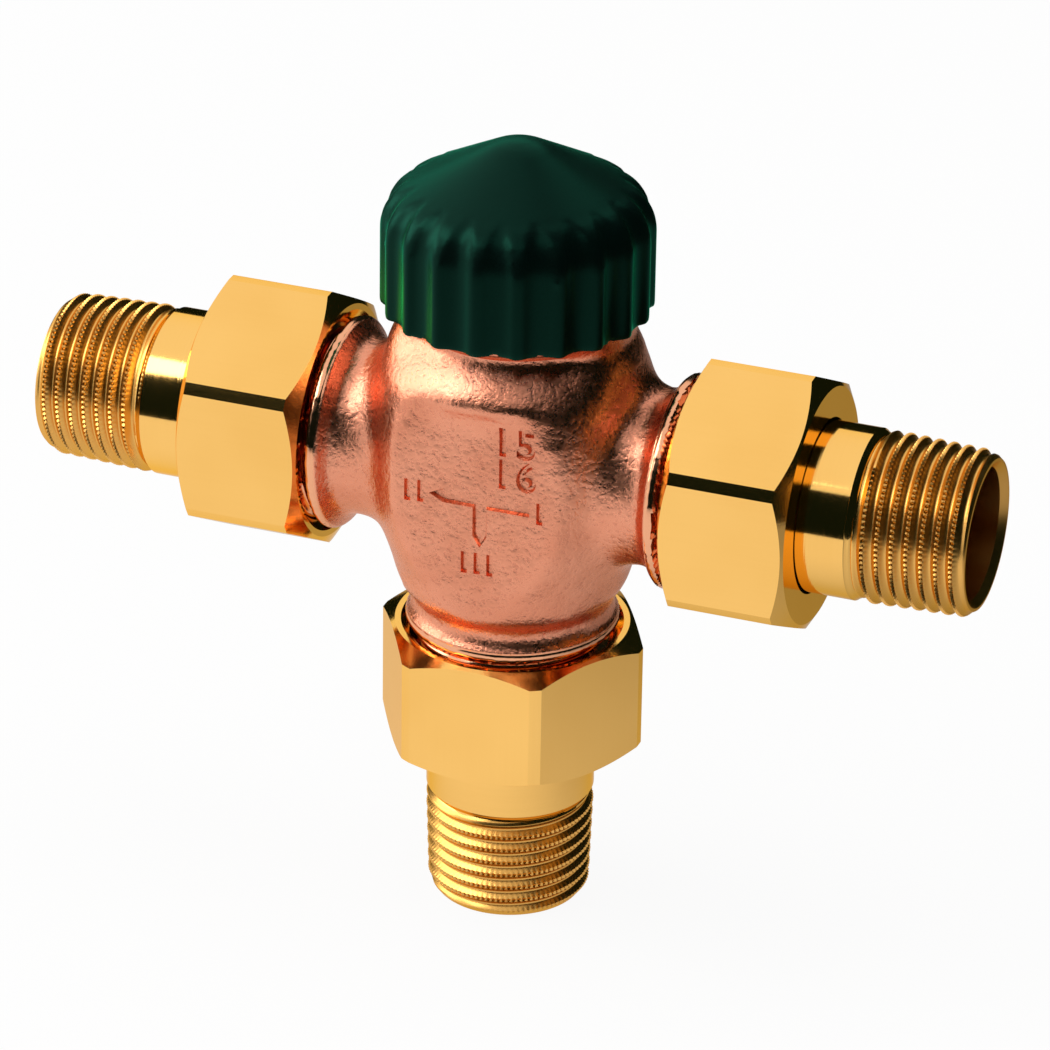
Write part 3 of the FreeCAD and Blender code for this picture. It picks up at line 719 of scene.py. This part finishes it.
# %% Pare the spigots
SPIGOT_FROM = 22.4 * MM
SPIGOT_FOOT = 11.45 * MM
OUTWARD = {
    "right": Matrix.Rotation(math.pi / 2, 4, "Y"),
    "left": Matrix.Rotation(-math.pi / 2, 4, "Y"),
    "bottom": Matrix.Rotation(math.pi, 4, "X"),
}

for outward in OUTWARD.values():
    along = outward.to_3x3() @ Vector((0, 0, 1))
    for vert in casting.verts:
        from_crossing = vert.co - CROSSING
        from_axis = from_crossing - along * from_crossing.dot(along)
        if from_crossing.dot(along) > SPIGOT_FROM and from_axis.length > SPIGOT_FOOT:
            vert.co -= from_axis * (1 - SPIGOT_FOOT / from_axis.length)
print("pared", len(OUTWARD), "spigots")

# %% [markdown]
# ## Sunk flow marks
# The foundry pattern carries a flow arrow that forks from the inlet to both outlets, the
# port numbers as upright strokes, and two plain numbers for the bore and the pressure it
# stands. They are pressed about half a millimetre into the flat front pad, with sloping
# walls so that the pattern draws from the sand. Each outline is one flat face that is
# extruded outwards and inset inwards into a stamp; the figures come from a text object that
# is turned into a mesh first, because nobody wants to draw a 5 by hand. The stamps are then
# taken out of the casting with a Boolean; both are closed skins, so the quick manifold solver
# will do.

# %% Draw the flow arrow and the port numbers
PAD_FACE = -14.2 * MM
ARROW = [
    (7.2, -1.15), (7.2, 0.65), (-3.9, 0.65), (-5.7, -0.2), (-3.9, -1.15), (-0.05, -1.15),
    (-0.05, -4.9), (0.85, -6.4), (1.75, -4.9), (1.75, -1.15),
]
PORT_STROKES = [
    (-8.5, -0.3), (-6.8, -0.2), (8.5, -0.5), (-1.1, -8.7), (0.55, -8.6), (2.2, -8.6),
]
STROKE_HALF = (0.4, 1.43)


def on_pad(x, z):
    return Vector((x * MM, PAD_FACE, CROSSING.z + z * MM))


stamps = bmesh.new()
stamps.faces.new([stamps.verts.new(on_pad(x, z)) for x, z in ARROW])
wide, tall = STROKE_HALF
for x, z in PORT_STROKES:
    stamps.faces.new([stamps.verts.new(on_pad(x + side * wide, z + rise * tall))
                      for side, rise in ((1, -1), (1, 1), (-1, 1), (-1, -1))])
print("marks drawn:", len(stamps.faces))

# %% Draw the two plain numbers
FIGURES = {"bore_number": ("15", 5.2, 6.5), "pressure_number": ("16", 5.2, 2.2)}
FIGURE_SIZE = 5.2 * MM
FIGURE_SPACING = 1.15
FIGURE_FATTER = 0.17 * MM
FIGURE_STEPS = 4
FINE_MERGE = 0.001 * MM

for name, (text, x, z) in FIGURES.items():
    letters = bpy.data.curves.new(name, "FONT")
    letters.body = text
    letters.size = FIGURE_SIZE
    letters.align_x = "CENTER"
    letters.space_character = FIGURE_SPACING
    letters.offset = FIGURE_FATTER
    letters.fill_mode = "FRONT"
    letters.resolution_u = FIGURE_STEPS
    mesh = settled(new_object(name, letters))
    mesh.transform(Matrix.Translation(on_pad(x, z)) @ Matrix.Rotation(math.pi / 2, 4, "X"))
    stamps.from_mesh(mesh)
bmesh.ops.remove_doubles(stamps, verts=stamps.verts, dist=FINE_MERGE)
print("with the numbers:", len(stamps.faces), "faces")

# %% Make the stamps solid
MARK_DEEP = 0.5 * MM
MARK_SLOPE = 0.26 * MM
STAMP_PROUD = 0.8 * MM

drawn = list(stamps.faces)
raised = bmesh.ops.extrude_face_region(stamps, geom=drawn, use_keep_orig=True)["geom"]
bmesh.ops.translate(stamps, verts=verts_of(raised), vec=(0, -STAMP_PROUD, 0))
bmesh.ops.recalc_face_normals(stamps, faces=stamps.faces)
bmesh.ops.inset_region(stamps, faces=drawn, thickness=MARK_SLOPE, depth=MARK_DEEP,
                       use_even_offset=False)
print("stamps have", len(stamps.faces), "faces,",
      sum(edge.is_boundary for edge in stamps.edges), "open edges")

# %% Press the marks into the casting
stamp_block = new_object("stamps", new_mesh("stamps", stamps))


def press(blank):
    cut = blank.modifiers.new("press", "BOOLEAN")
    cut.operation = "DIFFERENCE"
    cut.solver = "MANIFOLD"
    cut.object = stamp_block


casting = finished("pressed_casting", casting, press)
bpy.data.objects.remove(stamp_block)
bmesh.ops.dissolve_degenerate(casting, edges=casting.edges, dist=MERGE)
cast_body = put("cast_body", casting, "valve_body", cast_gunmetal)
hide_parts("valve_body")

# %% [markdown]
# ## The moulded cap
# A moulded cap has no sharp edges either: every finger and every flute runs into the next
# with a small round. Beveling each edge of twenty flutes breaks where they fade out over the
# shoulder, so the cap is rebuilt as a fine net like the casting and its outside is rubbed
# down a little. The bore stays as it is, because it runs on the neck.

# %% Round the cap
CAP_NET = 0.38 * MM
CAP_RUBS = 5
CAP_BORE = 15.3 * MM
CAP_ROOF = 35.6 * MM

cap = net_of("protective_cap", CAP_NET)
outside = []
for vert in cap.verts:
    x, y, z = vert.co - CROSSING
    if math.hypot(x, y) > CAP_BORE or z > CAP_ROOF:
        outside.append(vert)
rub_down(cap, outside, CAP_RUBS)
moulded_cap = put("moulded_cap", cap, "cap", green_plastic)
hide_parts("protective_cap")

# %% [markdown]
# ## Cut threads
# A thread could be faked with a wave in the finish, but its outline shows against the white
# floor. So one pitch of its section is spun up the axis for one turn, with a little step at
# every turn of the spin, which makes a true helix. Copies of that turn are stacked and merged,
# the top and bottom are cut off flat, and the points are then pared in or out: the thread runs
# out softly at one end, tapers, and is chamfered at the other.

# %% Wind a thread
PITCH = 1.814 * MM
FLANK = [
    (0.0, -0.5), (0.04, -0.42), (0.45, -0.26), (0.86, -0.125), (1.0, -0.075),
    (1.0, 0.075), (0.86, 0.125), (0.45, 0.26), (0.04, 0.42), (0.0, 0.5),
]


def wind(root, depth, low, high, per_turn):
    """The skin of a thread about the Z axis, cut off flat at its two ends."""
    bm = bmesh.new()
    flank = line_of(bm, [(root + out * depth, 0, low + (along - 1) * PITCH)
                         for out, along in FLANK])
    bmesh.ops.spin(bm, geom=flank, axis=(0, 0, 1), cent=(0, 0, 0),
                   dvec=(0, 0, PITCH / per_turn), angle=2 * math.pi, steps=per_turn)
    one_turn = all_of(bm)
    for turn in range(1, math.ceil((high - low) / PITCH) + 3):
        copied = bmesh.ops.duplicate(bm, geom=one_turn)["geom"]
        bmesh.ops.translate(bm, verts=verts_of(copied), vec=(0, 0, turn * PITCH))
    bmesh.ops.remove_doubles(bm, verts=bm.verts, dist=MERGE)
    for height, side in ((low, -1), (high, 1)):
        bmesh.ops.bisect_plane(bm, geom=all_of(bm), dist=FINE_MERGE, clear_outer=True,
                               plane_co=(0, 0, height), plane_no=(0, 0, side))
    return bm


def pare(bm, pared_radius):
    """Moves every point of a thread to the radius that a rule gives for it."""
    for vert in bm.verts:
        radius = math.hypot(vert.co.x, vert.co.y)
        pared = pared_radius(radius, math.atan2(vert.co.y, vert.co.x), vert.co.z)
        vert.co.x *= pared / radius
        vert.co.y *= pared / radius


def close_on(bm, section, steps):
    """Spins the rest of a section, from the thread's foot round to its end, and joins them."""
    rest = line_of(bm, [(radius * MM, 0, height * MM) for radius, height in section])
    bmesh.ops.spin(bm, geom=rest, axis=(0, 0, 1), cent=(0, 0, 0),
                   angle=2 * math.pi, steps=steps, use_merge=True)
    middle = (section[0][1] + section[-1][1]) / 2 * MM
    open_edges = [edge for edge in bm.edges if edge.is_boundary]
    for end in (-1, 1):
        loops = [edge for edge in open_edges if (edge.verts[0].co.z - middle) * end > 0]
        bmesh.ops.bridge_loops(bm, edges=loops)
    bmesh.ops.recalc_face_normals(bm, faces=bm.faces)


def on_port(thread, outward):
    """A copy of a thread, turned from the Z axis to lie along a port."""
    bm = thread.copy()
    bmesh.ops.transform(bm, verts=bm.verts, matrix=Matrix.Translation(CROSSING) @ outward)
    return bm


print("one pitch has", len(FLANK), "points")

# %% [markdown]
# ## Tails with pipe threads
# Each tail is turned from bar: a collar that the nut pulls against the gasket, a plain shank,
# and a tapered pipe thread. Its crests are nicked all the way round so that hemp packing
# grips, which shows as a dotted line along every crest. The nicks are only pared into the
# crest points, four points to a nick, so they cost no more than the thread itself.

# %% Turn the tails
THREAD_R = 10.5 * MM
THREAD_DEPTH = 0.78 * MM
THREAD_TAPER = 1 / 32
THREAD_FROM = 46.2 * MM
THREAD_TO = 59.95 * MM
RUN_OUT_LEAST = 0.35
RUN_OUT_LONG = 0.9 * PITCH
NICKED_FROM = 47.4 * MM
NICKS = 96
NICK_POINTS = 4
NICK_DEEP = 0.42 * MM
CREST_FROM = 0.8
CREST_SPAN = 0.2
LEAD_IN = 58.7 * MM
LEAD_IN_DROP = 0.3 * MM
LEAD_IN_SLOPE = 0.75
TAIL_STEPS = 160
TAIL_SECTION = [
    (9.85, 46.15), (10.2, 45.8), (10.3, 45.5), (10.5, 45.35), (10.5, 35.4),
    (11.9, 35.4), (11.9, 32.2), (8.1, 32.2), (8.1, 59.1), (8.9, 59.98),
]


def tail_radius(radius, angle, height):
    """The radius of a point of the pipe thread, run out, tapered, nicked and chamfered."""
    root = THREAD_R - THREAD_DEPTH
    run_out = min(1.0, RUN_OUT_LEAST + max(0.0, height - THREAD_FROM) / RUN_OUT_LONG)
    taper = (height - NICKED_FROM) * THREAD_TAPER
    nick = 0.0
    if height > NICKED_FROM:
        crest = max(0.0, (radius - root) / THREAD_DEPTH - CREST_FROM) / CREST_SPAN
        nick = crest * NICK_DEEP * (0.5 - 0.5 * math.cos(angle * NICKS))
    chamfer = THREAD_R - LEAD_IN_DROP - LEAD_IN_SLOPE * (height - LEAD_IN)
    return min(root + (radius - root) * run_out - nick - taper, chamfer)


thread = wind(THREAD_R - THREAD_DEPTH, THREAD_DEPTH, THREAD_FROM, THREAD_TO, NICK_POINTS * NICKS)
pare(thread, tail_radius)
close_on(thread, TAIL_SECTION, TAIL_STEPS)
for side, outward in OUTWARD.items():
    tail = put(side + "_threaded_tail", on_port(thread, outward), side + "_tail",
               turned_brass[side])
    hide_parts("tail_" + side)
thread.free()

# %% [markdown]
# ## Union threads
# The three spigots of the casting carry a coarse parallel thread for the union nuts. It only
# shows when a nut is backed off. Each is a threaded sleeve that sits on the pared spigot and
# is made as the tails are, without nicks.

# %% Wind the union threads
UNION_R = 12.55 * MM
UNION_DEPTH = 1.0 * MM
UNION_FROM = 23.0 * MM
UNION_TO = 30.7 * MM
UNION_RUN_OUT_LEAST = 0.2
UNION_CHAMFER = 0.9 * MM
UNION_STEPS = 96
UNION_SECTION = [(11.4, 22.9), (10.9, 22.9), (10.9, 30.75), (11.2, 30.75)]


def union_radius(radius, angle, height):
    """The radius of a point of the union thread, run out and chamfered, at any angle."""
    root = UNION_R - UNION_DEPTH
    run_out = min(1.0, UNION_RUN_OUT_LEAST + max(0.0, height - UNION_FROM) / PITCH)
    chamfer = UNION_R - (height - (UNION_TO - UNION_CHAMFER))
    return min(root + (radius - root) * run_out, chamfer)


union_thread = wind(UNION_R - UNION_DEPTH, UNION_DEPTH, UNION_FROM, UNION_TO, UNION_STEPS)
pare(union_thread, union_radius)
close_on(union_thread, UNION_SECTION, UNION_STEPS)
for side, outward in OUTWARD.items():
    put(side + "_union_thread", on_port(union_thread, outward), "valve_body",
        cast_gunmetal)
union_thread.free()

# %% [markdown]
# ## A wound spring
# The return spring stands between the bonnet and the stem's collar, and it has to shorten when
# the cap presses the stem down, which a solid cannot do. Here the spring is wound again from
# a ring of points, and it is put on no body.

# %% Wind the return spring
SPRING_TURNS = 4.5
WIRE_R = 0.45 * MM
WIRE_SIDES = 10
STEPS_PER_TURN = 32

spring_low, spring_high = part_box("return_spring")
coil_r = spring_high[0] - WIRE_R
foot = spring_low[2] + WIRE_R
rise = spring_high[2] - WIRE_R - foot
steps = int(SPRING_TURNS * STEPS_PER_TURN)
bm = bmesh.new()
upright = Matrix.Translation((coil_r, 0, foot)) @ Matrix.Rotation(math.pi / 2, 4, "X")
bmesh.ops.create_circle(bm, segments=WIRE_SIDES, radius=WIRE_R, matrix=upright)
bmesh.ops.spin(bm, geom=all_of(bm), axis=(0, 0, 1), cent=(0, 0, 0),
               dvec=(0, 0, rise / steps), angle=SPRING_TURNS * 2 * math.pi, steps=steps)
bmesh.ops.holes_fill(bm, edges=[edge for edge in bm.edges if edge.is_boundary], sides=0)
bmesh.ops.recalc_face_normals(bm, faces=bm.faces)
wound_spring = put("wound_spring", bm, None, steel)
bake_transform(wound_spring)
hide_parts("return_spring")
print("spring of", SPRING_TURNS, "turns,", round(rise / MM, 2), "mm between its end coils")
